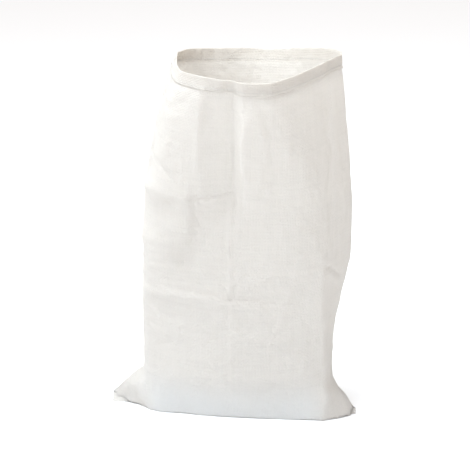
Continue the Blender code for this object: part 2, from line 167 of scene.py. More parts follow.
FINE_FOLDS = (
    (2.4, 4, 5, 24, ((230, 540), (231, 500), (231, 451), (239, 357), (244, 300))),
    (-1.3, 6, 7, 24, ((242, 530), (242, 515), (243, 452), (252, 358), (256, 320))),
    (0.8, 5, 6, 30, ((244, 320), (246, 257), (246, 185), (247, 110))),
    (-1.6, 5, 9, 30, ((236, 560), (233, 640), (230, 700), (220, 752))),
    (-3.0, 6, 6, 14, ((140, 526), (150, 523), (172, 528), (201, 534), (240, 540))),
    (2.0, 5, 5, 12, ((150, 517), (172, 520), (200, 526), (228, 531))),
    (2.4, 5, 5, 8, ((136, 530), (146, 522), (156, 513))),
    (1.6, 4, 6, 8, ((150, 512), (163, 498), (176, 484), (190, 470))),
    (1.4, 4, 6, 8, ((146, 505), (156, 488), (166, 470), (172, 452))),
    (1.2, 4, 6, 8, ((158, 514), (174, 506), (192, 500))),
    (3.6, 5, 10, 20, ((158, 326), (183, 324), (215, 320), (240, 315), (264, 312))),
    (-1.2, 9, 5, 30, ((230, 320), (300, 318), (346, 315), (440, 308))),
    (1.0, 5, 5, 16, ((88, 338), (120, 342), (165, 346))),
    (1.2, 5, 5, 16, ((85, 330), (110, 326), (150, 317))),
    (1.9, 5, 7, 14, ((70, 284), (84, 275), (98, 266), (135, 259), (150, 258))),
    (-1.6, 8, 12, 20, ((128, 248), (160, 252), (195, 256))),
    (1.7, 4, 6, 14, ((322, 226), (330, 240), (348, 277), (355, 305))),
    (-1.2, 5, 5, 12, ((332, 228), (340, 244), (355, 272))),
    (1.2, 5, 6, 10, ((60, 396), (80, 402), (98, 408))),
    (1.2, 5, 6, 10, ((62, 381), (80, 386), (100, 391))),
    (1.0, 5, 6, 10, ((60, 364), (80, 368), (100, 372))),
    (1.8, 5, 7, 12, ((420, 392), (432, 384), (447, 377))),
    (1.6, 4, 6, 12, ((446, 372), (468, 356), (492, 340))),
    (-1.5, 5, 5, 12, ((446, 432), (449, 415), (448, 398))),
    (1.3, 5, 5, 16, ((476, 430), (480, 470), (474, 520))),
    (-1.4, 5, 5, 16, ((486, 180), (490, 130), (497, 100))),
    (1.6, 6, 8, 30, ((750, 60), (750, 200), (748, 320), (752, 430))),
    (-1.6, 6, 8, 30, ((620, 320), (700, 322), (750, 319), (800, 318), (880, 318))),
    (1.3, 6, 8, 30, ((640, 312), (720, 313), (790, 310), (860, 309))),
    (-1.6, 6, 6, 24, ((700, 533), (750, 531), (800, 526))),
    (1.5, 5, 7, 16, ((860, 262), (895, 250), (925, 252))),
    (1.4, 5, 6, 16, ((598, 240), (612, 262), (618, 290))),
    (1.5, 5, 6, 16, ((905, 545), (930, 560), (960, 566))),
    (-1.5, 6, 6, 16, ((540, 560), (560, 548), (590, 545))),
)

# Soft swellings: height, place round and up, reach round and up, all in millimetres
SWELLS = (
    (2.2, 166, 756, 13, 12),
    (2.0, 197, 764, 12, 11),
    (1.8, 228, 764, 11, 11),
    (3.0, 110, 470, 42, 36),
    (3.5, 95, 380, 50, 44),
    (-3.5, 150, 395, 44, 40),
    (3.0, 350, 420, 70, 90),
    (2.5, 180, 180, 90, 70),
    (4.0, 690, 430, 60, 80),
    (-4.0, 810, 420, 60, 90),
    (4.0, 840, 200, 70, 70),
    (3.0, 640, 190, 60, 60),
)

# Swellings of the same kind with a flatter top, and how steep the edges of both kinds are
PILLOWS = ((6.5, 273, 640, 38, 106),)
SWELL_EDGE = 1.25
PILLOW_EDGE = 2.4

# Profile of a fold: bluntness of its line, height from which its flanks run nearly straight, and the
# powers of straight and of hollow flanks
BLUNT = 0.0007
TALL = 6
STRAIGHT = 1.08
HOLLOW = 2

# Small crumples everywhere: cell, height, seed; and how far up their pattern goes
CRUMPLES = ((0.055, 0.0011, 3), (0.027, 0.0006, 5), (0.014, 0.00028, 8))
CRUMPLE_TOP = 0.85

# Where broad and fine folds set in above the seam (start and reach)
BROAD_FROM = (0.080, 0.03)
FINE_FROM = (0.080, 0.02)

# Outward curl of the back rim, and where it sets in going up and coming from either side crease
BACK_FLARE = 0.008
FLARE_UP = (0.745, 0.045)
FLARE_RIGHT = (0.50, 0.04)
FLARE_LEFT = (0.985, -0.06)

# How the cloth settles: its hold on its place everywhere, at the foot and at the rim; how much it
# gives everywhere and at the side creases; the frames it takes and the most that a point may move
WALL_HOLD = 0.10
FOOT_HOLD = 0.9
FOOT_RANGE = (0.075, 0.05)
RIM_HOLD = 0.25
RIM_REACH = 0.03
WALL_GROWTH = 0.11
CREASE_GROWTH = 0.50
CREASE_REACH = 0.10
GROWTH_RANGE = (0.10, 0.08)
SETTLING_FRAMES = 22
SETTLING_GRAVITY = 0.5
MOST_MOVE = 0.009
CLOTH_SETTINGS = {
    "quality": 7, "mass": 0.02, "tension_stiffness": 60, "compression_stiffness": 60,
    "shear_stiffness": 20, "bending_stiffness": 3.0, "tension_damping": 10, "compression_damping": 10,
    "shear_damping": 10, "bending_damping": 2.0, "air_damping": 2, "vertex_group_mass": "hold",
    "pin_stiffness": 1.0, "vertex_group_shrink": "growth", "shrink_min": 0.0, "shrink_max": -0.06,
}

# How strongly raised fine folds are painted lighter in the colour of the cloth, as a painted highlight on
# their ridges
PAINTED_RIDGE_HIGHLIGHT = 900

# The hem: place of its stitches, its gap to the wall, the gap at the stitches and how far these
# pinch, how much it opens downwards, its waves (cell and seed) and where it reads their pattern, how
# tight it is at first round the sack, and where it loosens
HEM_STITCH_PLACE = 0.76
HEM_GAP = 0.0010
HEM_PINCHED = 0.0002
PINCH_REACH = 0.0035
HEM_OPENS = 0.0012
HEM_WAVE = 0.75
HEM_WAVES = ((1 / 90, 21), (1 / 46, 22))
HEM_PATTERN = (0.05, 0.6)
HEM_TIGHT = 0.3
HEM_LOOSENS = (0.20, 0.08)

# Rows of the hem: angles round its turn, length of cloth to the last of them and in the whole turn,
# depths above the stitches, rows beside the stitches
TURN_ANGLES = (45, 90, 135)
TURN_LENGTH = 0.0008
WHOLE_TURN = 0.001
HEM_ROWS = (0.0004, 0.0045, 0.009, 0.0135)
STITCH_ROWS = 0.003

# Stitches: sides of a thread; places, heights and widths along a plain stitch, and its part of the
# pitch; shape of a chain stitch; where the chain begins on either side, and the share of the
# thread's thickness that it has; how far both kinds stand off the middle of the band
THREAD_SIDES = 6
DASH_PLACES = (0.0, 0.12, 0.34, 0.66, 0.88, 1.0)
DASH_LIFTS = (-1.15, -0.30, 0.18, 0.18, -0.30, -1.15)
DASH_WIDTHS = (0.55, 0.86, 1.0, 1.0, 0.86, 0.55)
DASH_START = 0.08
DASH_END = 0.92
DASH_SLACK = 0.05
LOOP_POINTS = 14
LOOP_REACH = 0.62
LOOP_HALF = 0.0013
CHAIN_FROM = 0.196
CHAIN_THREAD = 0.8
STITCH_RISE = 0.0005
CHAIN_RISE = 0.0009

# The bottom band: half its thickness, its section in millimetres (across and out), stations along
# it, its waves (cell and seed), where they read their pattern and their heights, where they set in
# across the band, and how far the stitches press it in
BAND_HALF = 0.0013
BAND_SECTION = (
    (-1.2, -0.8), (2.0, -0.85), (6.0, -0.85), (8.6, -0.8), (10.0, -0.45), (11.4, -0.8), (15.0, -0.9),
    (18.4, -0.8), (19.7, -0.4), (20.0, 0.2), (19.7, 0.8), (18.4, 1.15), (15.0, 1.25), (11.4, 1.1),
    (10.6, 0.3), (10.0, 0.15), (9.4, 0.3), (8.6, 1.1), (5.0, 1.25), (2.6, 1.2), (1.9, 1.05), (1.75, 0.2),
    (-1.2, 0.05),
)
BAND_STATIONS = 251
BAND_WAVES = ((1 / 70, 41), (1 / 31, 42))
BAND_EDGE = (1 / 24, 43)
BAND_PATTERN = 0.3
BAND_WAVE = 0.00032
EDGE_WANDER = 0.0004
WAVE_FROM = (0.0, 0.004)
EDGE_FROM = (0.012, 0.006)
EDGE_END = 0.0199
BAND_PRESS = 0.00028
PRESS_REACH = 0.0028

# The cloth's surface: width of a tape, palest and deepest share of its colour, light let through,
# cooler, paler painted floor bounce light on the foot and where it lies, lower edge of the hem that is
# painted lighter, heights of its relief
TAPE = 0.0032
PALE = 1.07
DEEP = 0.915
THROUGH = (0.97, 0.935, 0.885)
THROUGH_SHARE = 0.50
PAINTED_BOUNCE_TONE = (0.83, 0.865, 0.90)
PAINTED_BOUNCE_FADE = (0.17, 0.08)
PAINTED_BOUNCE_SIDES = (0.42, 0.30)
HEM_LINE = (0.751, 0.756)
WEAVE_BUMP = 0.00055
RUMPLE_BUMP = 0.0009
PLY_BUMP = 0.0002

# The studio: light of the room; soft lamps with place, aim, size, power and colour
SKY = (1.0, 0.928, 0.882)
SKY_STRENGTH = 0.785
SOFTBOXES = (
    ("left_window", (-1.9, -0.55, 1.7), (0.0, 0.0, 0.5), (1.1, 1.1), 13.5, (0.88, 0.965, 1.0)),
    ("left_back", (-1.7, 2.1, 1.3), (0.0, 0.0, 0.6), (1.2, 1.2), 12, (0.85, 0.95, 1.0)),
    ("overhead", (-0.7, -0.6, 3.2), (0.0, 0.0, 0.3), (2.4, 2.4), 121, (0.895, 0.968, 1.0)),
    ("backdrop", (0.0, 4.4, 3.4), (0.0, 4.6, 0.0), (9.0, 5.0), 38, (0.93, 0.985, 1.0)),
    ("front_low", (0.2, -2.2, 0.35), (0.0, 0.0, 0.05), (2.6, 0.5), 6, (0.9, 0.95, 1.0)),
)

# The camera: what it looks at, its distance, height and turn round the sack in degrees, its sensor,
# and the picture's side, lens and shift in pixels
AIM = (0.0, -0.00488, 0.37)
CAMERA_AWAY = 5.0
CAMERA_HEIGHT = 1.8
CAMERA_TURN = 8
SENSOR = 36
PICTURE = 470
LENS = 2597.8
SHIFT = (1.07, -3.08)

# What one step leaves for the next
STORE = {}


def measure(name, description, default):
    """A length for the panel."""
    return FloatProperty(name=name, description=description, default=default, unit="LENGTH")


def tint(name, description, default):
    """A colour for the panel."""
    return FloatVectorProperty(name=name, description=description, default=default, subtype="COLOR",
                               size=3, min=0.0, max=1.0)


class SackSizes(bpy.types.PropertyGroup):
    """Sizes of the flat sack, its sewing, and how finely its cloth is laid out."""

    flat_width: measure("Flat width", "Width of the sack laid flat", 0.500)
    flat_length: measure("Flat length", "From the bottom seam to the mouth", 0.780)
    cloth: measure("Cloth", "Thickness of the woven cloth", 0.0005)
    hem_depth: measure("Hem depth", "Width of the hem round the mouth", 0.026)
    hem_stitch: measure("Hem stitch", "Length of one stitch of the hem", 0.0062)
    band_width: measure("Band width", "Width of the folded band on the bottom seam", 0.020)
    band_stitch: measure("Band stitch", "Length of one stitch of the bottom band", 0.0085)
    thread: measure("Thread", "Thickness of the sewing thread", 0.0011)
    columns: IntProperty(name="Columns", description="Strips of cloth round the draping sack", default=120)
    rows: IntProperty(name="Rows", description="Strips of cloth from seam to mouth", default=90)


class SackColours(bpy.types.PropertyGroup):
    """Colours of the cloth, the thread and the floor."""

    cloth: tint("Cloth", "Colour of the woven tape", (0.780, 0.775, 0.768))
    thread: tint("Thread", "Colour of the sewing thread", (0.84, 0.83, 0.80))
    floor: tint("Floor", "Colour of the studio floor", (0.92, 0.94, 0.965))


def slopes(knots, values):
    """Slopes of a curve that never swings past its knots."""
    rises = np.diff(values) / np.diff(knots)
    out = np.zeros(len(knots))
    out[0], out[-1] = rises[0], rises[-1]
    for i in range(1, len(knots) - 1):
        before, after = rises[i - 1], rises[i]
        if before * after > 0:
            out[i] = 2 * before * after / (before + after)
    return out


def curve(knots, values, at):
    """Smooth curve through the knots, read at one place."""
    knots, values = np.asarray(knots, float), np.asarray(values, float)
    i = int(np.clip(np.searchsorted(knots, at, side="right") - 1, 0, len(knots) - 2))
    step = knots[i + 1] - knots[i]
    t = min(max((at - knots[i]) / step, 0.0), 1.0)
    tilt = slopes(knots, values) * step
    return ((1 + 2 * t) * (1 - t) ** 2 * values[i] + t * (1 - t) ** 2 * tilt[i]
            + t * t * (3 - 2 * t) * values[i + 1] + t * t * (t - 1) * tilt[i + 1])


def ease(value):
    """Soft step from 0 to 1, for one number or many."""
    value = np.clip(value, 0.0, 1.0)
    return value * value * (3 - 2 * value)


def ramp(value, start, reach):
    """Soft step from 0 at the start to 1 a reach further on."""
    return ease((value - start) / reach)


def mix(low, high, share):
    """Value between two values or points: the low one at 0, the high one at 1."""
    return low * (1 - share) + high * share


def rounded(points, rounds=4):
    """Corner points turned into a soft outline that keeps its two ends."""
    line = np.asarray(points, float)
    for _ in range(rounds):
        cut = [line[0]]
        for a, b in zip(line[:-1], line[1:]):
            cut += [mix(a, b, CORNER_SHARE), mix(b, a, CORNER_SHARE)]
        cut.append(line[-1])
        line = np.asarray(cut)
    return line


def lengths_of(line):
    """Distance along a line at each of its points."""
    return np.concatenate([[0.0], np.cumsum(np.linalg.norm(np.diff(line, axis=0), axis=1))])


def read(line, lengths, at):
    """What a table of points says at distances along its line."""
    return np.stack([np.interp(at, lengths, line[:, k]) for k in range(line.shape[1])], axis=1)


def along(line, places):
    """Points of a line at fractions of its length."""
    lengths = lengths_of(line)
    return read(line, lengths, np.asarray(places) * lengths[-1])


def unit(vectors):
    """The same directions, each of length one."""
    return vectors / np.linalg.norm(vectors, axis=1, keepdims=True)


def band_turn(x):
    """How far the bottom band is turned from lying flat to standing upright, in radians."""
    return math.radians(90) * float(ramp(abs(x), BAND_FLAT_FROM, BAND_UPRIGHT_FROM - BAND_FLAT_FROM))


def bend_ears(points, width):
    """Points once both ears swing forward and the right tip leans down, over the frame's middle."""
    points = np.array(points)
    x, y, z = points[..., 0], points[..., 1].copy(), points[..., 2].copy()
    swing = np.where(x < 0, *SWINGS)
    far = ramp(np.abs(x), SWING_FROM, SWING_FULL - SWING_FROM)
    low = 1 - ease(z / SWING_HEIGHT)
    lean = ramp(x, LEAN_FROM, width / 2 - LEAN_FROM) * (1 - ramp(z, LEAN_HEIGHT, LEAN_HEIGHT))
    points[..., 1] = y - swing * far * low + CENTRE_SHIFT
    points[..., 2] = z * (1 - LEAN * lean)
    return points


class Shape:
    """Places of the standing sack, worked out from its plans."""

    def __init__(self, sizes):
        self.width = sizes.flat_width
        self.length = sizes.flat_length
        self.band = sizes.band_width
        self.half = sizes.columns // 2
        self.count = self.half * 2
        self.rows = sizes.rows
        self.places = np.linspace(0, 1, self.half + 1)
        side = SIDE_LENGTH / self.width
        self.heights = [p[0] / 1000 for p in PLANS]
        self.plans = np.asarray([
            np.concatenate([along(rounded(front), self.places)[:-1],
                            along(rounded(back), self.places)[:-1]]) / 1000
            for _, front, back in PLANS
        ])
        corners = [along(rounded(half), [side, 1 - side]) / 1000 for half in PLANS[0][1:]]
        self.corner_tops = ((corners[0][0], corners[0][1]), (corners[1][1], corners[1][0]))

    def place(self, i):
        """Fraction from the left crease to the right one, and the side of the sack, of column i."""
        if i < self.half:
            return self.places[i], 1
        return 1 - self.places[i - self.half], -1

    def mouth_height(self, i):
        """Height of the mouth at column i."""
        return curve(*zip(*MOUTH), i / self.count)

    def ear_point(self, i, level):
        """Point of column i at a level below CORNER_LEVEL."""
        place, side = self.place(i)
        share = float(ease(level / CORNER_LEVEL))
        right = int(place >= 0.5)
        sign = 2 * right - 1
        corner = CORNERS[right]
        pinch = PINCHES[right] if side == 1 else BACK_PINCH
        away = min(place, 1 - place) * self.width / SIDE_LENGTH
        top = self.plans[0][i]
        above = self.corner_tops[0 if side == 1 else 1]
        if away < 1:
            levels, outs, heights = zip(*RIDGES[right])
            out, height = curve(levels, outs, level), curve(levels, heights, level)
            corner_x = mix(corner[0], above[right][0], share)
            corner_y = mix(corner[1], -abs(above[right][1]), share)
            bend = 1 + (pinch - 1) * (1 - share)
            x = sign * out + (corner_x - sign * out) * away
            y = corner_y * away**bend
            x = mix(x, top[0] * out / abs(self.plans[0][self.half * right][0]), share)
            y = mix(y, -abs(top[1]), share)
            apart = TIP_HALF + (FIN_HALF - TIP_HALF) * float(ease(away / TIP_GROWS))
            apart *= 1 + FIN_GROWTH * level
            if away > 0:
                y = min(y, -apart)
            drop = float(ease((-y - apart) / DROP_REACH)) if away > 0 else 0.0
            if side == 1:
                drops = [ramp(away, *part) for part in DROPS[right]]
                drop = max(drop, float(sum(drops) / len(drops)))
            return np.array([x, side * y, height + (level - height) * drop])
        low, high = above[0][0], above[1][0]
        floor_x = np.interp(min(max(top[0], low), high), (low, *FLAT_WALL, high),
                            (CORNERS[0][0], *FLAT_FLOOR, CORNERS[1][0]))
        floor_y = -np.interp(floor_x, *zip(*FLOOR_LINE))
        x, y = mix(floor_x, top[0], share), mix(floor_y, -abs(top[1]), share)
        return np.array([x, side * y, level])

    def wall_point(self, i, level):
        """Point of column i at a level above the ears."""
        x, y = (curve(self.heights, self.plans[:, i, k], level) for k in (0, 1))
        stretch = (self.mouth_height(i) - CORNER_LEVEL) / (NOMINAL_TOP - CORNER_LEVEL)
        return np.array([x, y, CORNER_LEVEL + (level - CORNER_LEVEL) * stretch])

    def seam_point(self, x):
        """Point where front and back meet over the band."""
        turn = band_turn(x)
        return np.array([x, 0.0, self.band * math.sin(turn) + SEAM_HEIGHT * math.cos(turn)])

    def column(self, i):
        """Path up column i from the seam to the mouth, and its length below CORNER_LEVEL."""
        place, side = self.place(i)
        seam = self.seam_point(-self.width / 2 + self.width * place)
        floor = self.ear_point(i, 0.0)
        lift = math.sin(band_turn(seam[0]))
        under, beside, above = PATH_STEPS
        path = []
        for part in np.linspace(0, 1, under)[:-1]:
            run = part * max(abs(floor[1]), 1e-6) / FLOOR_RUN
            flat = 1 - float(ease(run) if side == 1 else ramp(run, *BACK_FALL))
            point = mix(seam, floor, part)
            point[2] = floor[2] + (seam[2] - floor[2]) * mix(flat, 1 - part, lift)
            path.append(point)
        path += [self.ear_point(i, level) for level in np.linspace(0, CORNER_LEVEL, beside)[:-1]]
        low = len(path)
        path += [self.wall_point(i, level) for level in np.linspace(CORNER_LEVEL, NOMINAL_TOP, above)]
        path = np.asarray(path)
        steps = np.linalg.norm(np.diff(path, axis=0), axis=1)
        return path, steps[:low].sum(), steps.sum()

    def grid(self):
        """All points: rows from the seam to the mouth, columns round the sack."""
        paths, lows, totals = zip(*[self.column(i) for i in range(self.count)])
        even = np.asarray(lows)
        for _ in range(EVENING):
            even = (np.roll(even, 1) + 2 * even + np.roll(even, -1)) / 4
        rows = np.linspace(0, self.length, self.rows + 1)
        columns = []
        for path, share, low, total in zip(paths, even, lows, totals):
            run = np.interp(rows, (0, share, self.length), (0, low, total))
            columns.append(along(path, run / total))
        return bend_ears(np.stack(columns, axis=1), self.width)


def flat_spots(rows, count, length):
    """Place of each grid point on the cloth laid flat: round the sack and up from the seam."""
    round_it = np.broadcast_to(np.arange(count) / count, (rows + 1, count))
    up = np.broadcast_to(np.linspace(0, length, rows + 1)[:, None], (rows + 1, count))
    return np.stack([round_it, up], axis=-1)


def line_reach(spots, line):
    """Distance of flat spots to a line, the side that they lie on, and how far along it they are."""
    line = np.asarray(line, float) / 1000
    near = np.full(spots.shape[:-1], 9.0)
    side = np.zeros_like(near)
    run = np.zeros_like(near)
    done = 0.0
    for p, q in zip(line[:-1], line[1:]):
        step = q - p
        size = float(np.linalg.norm(step))
        gap = spots - p
        gap[..., 0] -= np.round(gap[..., 0] - step[0] / 2)
        t = np.clip(gap @ step / size**2, 0, 1)
        away = gap - t[..., None] * step
        distance = np.linalg.norm(away, axis=-1)
        closer = distance < near
        near = np.where(closer, distance, near)
        side = np.where(closer, step[0] * gap[..., 1] - step[1] * gap[..., 0], side)
        run = np.where(closer, done + t * size, run)
        done += size
    return near, side, run, done


def fold_heights(spots, folds):
    """Height that a table of folds gives each flat spot."""
    total = np.zeros(spots.shape[:-1])
    for height, before, after, ends, line in folds:
        near, side, run, size = line_reach(spots, line)
        reach = np.where(side > 0, before, after) / 1000
        near = np.sqrt(near**2 + BLUNT**2) - BLUNT
        profile = np.clip(1 - near / reach, 0, 1) ** (STRAIGHT if abs(height) > TALL else HOLLOW)
        fade = ease(run / (ends / 1000)) * ease((size - run) / (ends / 1000))
        total += height / 1000 * profile * fade
    return total


def swell_heights(spots):
    """Height that the soft swellings give each flat spot."""
    total = np.zeros(spots.shape[:-1])
    for table, edge in ((SWELLS, SWELL_EDGE), (PILLOWS, PILLOW_EDGE)):
        for height, a, v, wide, tall in table:
            gap = spots - np.array([a, v]) / 1000
            gap[..., 0] -= np.round(gap[..., 0])
            away = np.sqrt((gap[..., 0] * 1000 / wide) ** 2 + (gap[..., 1] * 1000 / tall) ** 2)
            total += height / 1000 * ease(edge * (1 - away))
    return total


def crumple(spots, cell, seed):
    """Small creased relief, from -1 to 1, that closes round the sack."""
    across = int(round(1 / cell))
    up = int(math.ceil(CRUMPLE_TOP / cell)) + 2
    knots = np.random.RandomState(seed).rand(up, across)
    x = (spots[..., 0] % 1.0) * across
    y = np.clip(spots[..., 1] / cell, 0, up - 1.001)
    i, j = np.floor(x).astype(int), np.floor(y).astype(int)
    fx, fy = ease(x - i), ease(y - j)
    i, k = i % across, (i + 1) % across
    value = mix(mix(knots[j, i], knots[j, k], fx), mix(knots[j + 1, i], knots[j + 1, k], fx), fy)
    return 1 - 2 * np.abs(2 * value - 1)


def normals(points):
    """Outward direction at each grid point."""
    across = np.roll(points, -1, axis=1) - np.roll(points, 1, axis=1)
    up = np.gradient(points, axis=0)
    out = np.cross(across, up)
    return out / np.maximum(np.linalg.norm(out, axis=2, keepdims=True), 1e-9)


def refine(points):
    """A grid of twice as many strips each way, through the same points."""
    before, after = np.roll(points, 1, axis=1), np.roll(points, -1, axis=1)
    middle = (9 * (points + after) - before - np.roll(points, -2, axis=1)) / 16
    wide = np.stack([points, middle], axis=2).reshape(points.shape[0], -1, 3)
    first, last = 2 * wide[:1] - wide[1:2], 2 * wide[-1:] - wide[-2:-1]
    padded = np.concatenate([first, wide, last])
    middle = (9 * (padded[1:-2] + padded[2:-1]) - padded[:-3] - padded[3:]) / 16
    out = np.empty((2 * wide.shape[0] - 1,) + wide.shape[1:])
    out[0::2], out[1::2] = wide, middle
    return out


def grid_index(rows, count):
    """Vertex numbers of a grid of cloth whose front and back share the seam row."""
    half = count // 2
    first = np.array([i if i <= half else count - i for i in range(count)])
    rest = half + 1 + np.arange(rows * count).reshape(rows, count)
    return np.concatenate([first[None, :], rest])


def mapped_piece(name, verts, faces, layer_name, maps):
    """Object of a mesh; the maps are the places of its face corners on the flat material."""
    mesh = bpy.data.meshes.new(name)
    mesh.from_pydata(np.asarray(verts).tolist(), [], faces)
    layer = mesh.uv_layers.new(name=layer_name)
    layer.data.foreach_set("uv", np.asarray(maps, np.float32).ravel())
    piece = bpy.data.objects.new(name, mesh)
    bpy.context.collection.objects.link(piece)
    return piece


def smooth(piece):
    """Shade a piece softly all over."""
    for face in piece.data.polygons:
        face.use_smooth = True


def turned_out(piece):
    """A closed piece once its faces point outward and are softly shaded."""
    tool = bmesh.new()
    tool.from_mesh(piece.data)
    bmesh.ops.recalc_face_normals(tool, faces=tool.faces)
    tool.to_mesh(piece.data)
    tool.free()
    smooth(piece)
    return piece


def grid_piece(name, points, heights):
    """Object of a closed grid of cloth; heights are the places of its rows on the flat cloth."""
    rows, count = points.shape[0] - 1, points.shape[1]
    index = grid_index(rows, count)
    verts = np.zeros((index.max() + 1, 3))
    verts[index.ravel()] = points.reshape(-1, 3)
    lower, upper = index[:-1], index[1:]
    faces = np.stack([lower, np.roll(lower, -1, axis=1), np.roll(upper, -1, axis=1), upper], axis=-1)
    left = np.broadcast_to(np.arange(count) / count, (rows, count))
    right = left + 1 / count
    low, high = (np.broadcast_to(part[:, None], (rows, count)) for part in (heights[:-1], heights[1:]))
    corners = np.stack([left, low, right, low, right, high, left, high], axis=-1)
    return mapped_piece(name, verts, faces.reshape(-1, 4).tolist(), "cloth", corners), index


def drape(piece, hold, growth, frames):
    """Let the cloth settle under its weight; hold keeps points near their place."""
    mesh = piece.data
    for name, weights in (("hold", hold), ("growth", growth)):
        group = piece.vertex_groups.new(name=name)
        for i, weight in enumerate(weights):
            group.add([i], float(weight), "REPLACE")
    cloth = piece.modifiers.new("drape", "CLOTH")
    settings = cloth.settings
    for name, value in CLOTH_SETTINGS.items():
        setattr(settings, name, value)
    settings.effector_weights.gravity = SETTLING_GRAVITY
    cloth.collision_settings.use_collision = False
    cloth.collision_settings.use_self_collision = False
    cloth.point_cache.frame_start = 1
    cloth.point_cache.frame_end = frames
    scene = bpy.context.scene
    for number in range(1, frames + 1):
        scene.frame_set(number)
    seen = piece.evaluated_get(bpy.context.evaluated_depsgraph_get())
    settled = np.zeros(len(mesh.vertices) * 3, np.float32)
    seen.data.vertices.foreach_get("co", settled)
    piece.modifiers.clear()
    piece.vertex_groups.clear()
    scene.frame_set(1)
    return settled.reshape(-1, 3).astype(float)


def settle(points, spots, frames):
    """The grid after its cloth has settled, each point near where it began."""
    piece, index = grid_piece("draping", points, spots[:, 0, 1])
    up = spots[..., 1]
    top = float(up.max())
    round_it = spots[..., 0]
    hold = WALL_HOLD + FOOT_HOLD * (1 - ramp(up, *FOOT_RANGE))
    hold += RIM_HOLD * ramp(up - top, -RIM_REACH, RIM_REACH)
    corner = np.minimum(np.minimum(round_it, 1 - round_it), np.abs(round_it - 0.5))
    growth = WALL_GROWTH + CREASE_GROWTH * (1 - ease(corner / CREASE_REACH))
    growth *= ramp(up, *GROWTH_RANGE)
    flat_hold, flat_growth = np.zeros(index.max() + 1), np.zeros(index.max() + 1)
    flat_hold[index.ravel()] = np.clip(hold, 0, 1).ravel()
    flat_growth[index.ravel()] = growth.ravel()
    settled = drape(piece, flat_hold, flat_growth, frames)[index]
    bpy.data.objects.remove(piece)
    moved = settled - points
    size = np.linalg.norm(moved, axis=2, keepdims=True)
    return points + moved * np.minimum(1, MOST_MOVE / np.maximum(size, 1e-9))


class Cloth:
    """The finished sheet of cloth: its wall, and the hem turned over on its outside."""

    def __init__(self, sizes):
        self.sizes = sizes
        shape = Shape(sizes)
        points = shape.grid()
        spots = flat_spots(shape.rows, shape.count, sizes.flat_length)
        round_it, up = spots[..., 0], spots[..., 1]
        free = ramp(up, *BROAD_FROM)
        relief = fold_heights(spots, BROAD_FOLDS) + swell_heights(spots)
        rim = ramp(up, *FLARE_UP) * ramp(round_it, *FLARE_RIGHT)
        relief = relief + BACK_FLARE * rim * ramp(round_it, *FLARE_LEFT)
        points = points + normals(points) * (relief * free)[..., None]
        points = settle(points, spots, SETTLING_FRAMES)
        points = refine(points)
        spots = flat_spots(points.shape[0] - 1, points.shape[1], sizes.flat_length)
        free = ramp(spots[..., 1], *FINE_FROM)
        relief = fold_heights(spots, FINE_FOLDS)
        for cell, height, seed in CRUMPLES:
            relief += height * crumple(spots, cell, seed)
        self.wall = points + normals(points) * (relief * free)[..., None]
        self.wall[..., 2] = np.maximum(self.wall[..., 2], 0)
        # Painted highlight: raised fine folds are painted lighter on their ridges, this much at each point
        raised = [fold for fold in FINE_FOLDS if fold[0] > 0]
        self.painted_ridge_highlights = np.clip(fold_heights(spots, raised) * PAINTED_RIDGE_HIGHLIGHT, 0, 1)
        self.spots = spots
        self.rows, self.count = self.wall.shape[0] - 1, self.wall.shape[1]

    def at_depth(self, depth):
        """Points of the wall, and their outward directions, at a depth below the mouth."""
        row = self.rows * (1 - depth / self.sizes.flat_length)
        low = min(int(row), self.rows - 1)
        part = row - low
        out = normals(self.wall)
        return mix(self.wall[low], self.wall[low + 1], part), unit(mix(out[low], out[low + 1], part))

    def looseness(self, depth):
        """How far the hem stands off the wall at a depth below the mouth, round the sack."""
        stitch = self.sizes.hem_depth * HEM_STITCH_PLACE
        places = np.arange(self.count) / self.count
        loose = HEM_TIGHT + (1 - HEM_TIGHT) * ramp(places, *HEM_LOOSENS)
        start, scale = HEM_PATTERN
        spots = np.stack([places, np.full(self.count, start + depth * scale)], axis=-1)
        ripple = sum(crumple(spots, cell, seed) * 0.5 for cell, seed in HEM_WAVES)
        held = math.exp(-((depth - stitch) / PINCH_REACH) ** 2)
        body = HEM_GAP * (1 + HEM_WAVE * ripple)
        body = body + HEM_OPENS * float(ease(depth / self.sizes.hem_depth)) ** 2
        return mix(body * loose, HEM_PINCHED, held)

    def hem(self):
        """Rows of the hem from the mouth down the outside, with their places on the flat cloth."""
        top, out = self.wall[-1], normals(self.wall)[-1]
        up = unit(self.wall[-1] - self.wall[-2])
        gap = self.looseness(0.0)[:, None]
        rows, heights = [], []
        for angle in TURN_ANGLES:
            turn = math.radians(angle)
            rows.append(top + out * gap / 2 * (1 - math.cos(turn)) + up * gap / 2 * math.sin(turn))
            heights.append(TURN_LENGTH * angle / TURN_ANGLES[-1])
        stitch = self.sizes.hem_depth * HEM_STITCH_PLACE
        for depth in (*HEM_ROWS, stitch - STITCH_ROWS, stitch, stitch + STITCH_ROWS,
                      self.sizes.hem_depth):
            place, way = self.at_depth(depth)
            rows.append(place + way * self.looseness(depth)[:, None])
            heights.append(WHOLE_TURN + depth)
        return np.stack(rows), np.asarray(heights) + self.sizes.flat_length

    def piece(self):
        """The sack's cloth as an object, with the thickness of its cloth."""
        rows, heights = self.hem()
        points = np.concatenate([self.wall, rows])
        heights = np.concatenate([self.spots[:, 0, 1], heights])
        piece, index = grid_piece("sack_cloth", points, heights)
        # Painted highlight on the ridges of raised fine folds, carried to the cloth's points for its colour
        painted_ridge_highlights = np.zeros(index.max() + 1)
        painted_ridge_highlights[index[:self.rows + 1].ravel()] = self.painted_ridge_highlights.ravel()
        layer = piece.data.attributes.new("painted_ridge_highlight", "FLOAT", "POINT")
        layer.data.foreach_set("value", painted_ridge_highlights.astype(np.float32))
        wall = piece.modifiers.new("thickness", "SOLIDIFY")
        wall.thickness = self.sizes.cloth
        wall.offset = -1
        wall.use_even_offset = False
        bpy.context.view_layer.objects.active = piece
        bpy.ops.object.modifier_apply(modifier=wall.name)
        smooth(piece)
        return piece


